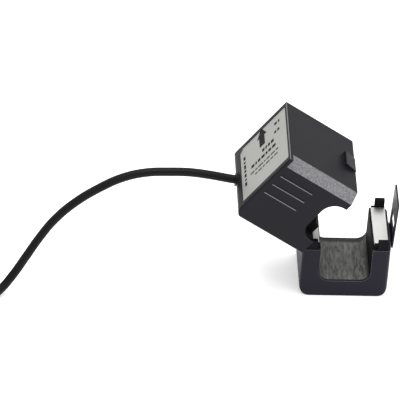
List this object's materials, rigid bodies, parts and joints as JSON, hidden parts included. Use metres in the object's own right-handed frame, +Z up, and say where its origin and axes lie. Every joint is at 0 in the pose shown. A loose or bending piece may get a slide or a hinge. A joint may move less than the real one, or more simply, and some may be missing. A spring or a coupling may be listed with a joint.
{
  "type": "current transformer",
  "caption": "Split-core current transformer: winding housing swung open on a U-shaped hinged lid with bright pole faces, slotted latch plate and a two-core output cable",
  "frame": {"origin": "centre of the lid's base, which stands on the table", "axes": "+X from the hinge side to the catch side, +Y along the measured conductor away from the viewer, +Z up from the base"},
  "size_m": [0.2684, 0.0646, 0.0944],
  "materials": {
    "black_housing": "fine moulded grain",
    "black_lid": "fine moulded grain",
    "black_inner": "smooth moulded",
    "label": "satin silver-grey foil",
    "core_steel": "ground pole faces, wound strip",
    "bobbin": "smooth",
    "copper": "enamelled copper wire",
    "tape": "thin film",
    "sleeve": "heat-shrink",
    "plated_steel": "zinc plated",
    "cable_jacket": "semi-matt jacket",
    "tie": "nylon",
    "wire_white": "insulation",
    "wire_grey": "insulation"
  },
  "bodies": {
    "housing": {"housing_shell": "black_housing", "housing_insert": "black_inner", "rating_label": "label", "upper_core": "core_steel", "bobbin_upper": "bobbin", "bobbin_lower": "bobbin", "secondary_winding": "copper", "winding_tape": "tape", "winding_lead_s1": "copper", "winding_lead_s2": "copper", "splice_sleeve_s1": "sleeve", "splice_sleeve_s2": "sleeve", "cable_clamp": "plated_steel", "cable_grommet": "cable_jacket", "hinge_pin": "plated_steel", "output_cable": "cable_jacket", "cable_coil": "cable_jacket", "cable_tail": "cable_jacket", "coil_tie": "tie", "core_wire_s1": "wire_white", "core_wire_s2": "wire_grey", "ferrule_s1": "plated_steel", "ferrule_s2": "plated_steel"},
    "lid": {"lid_shell": "black_lid", "lid_liner": "black_inner", "lid_core": "core_steel", "core_spring": "plated_steel"},
    "latch": {"latch_plate": "black_inner"}
  },
  "joints": [
    {"name": "lid_hinge", "type": "hinge", "parent": "housing", "child": "lid", "pos_m": [-0.0255, 0, 0.0307], "axis": [0, -1, 0], "range_deg": [0, 55]},
    {"name": "latch_flex", "type": "hinge", "parent": "lid", "child": "latch", "pos_m": [0.0235, 0.0025, 0.0249], "axis": [0, 1, 0], "range_deg": [-2, 8], "stiffness_Nm_per_rad": 0.02}
  ]
}
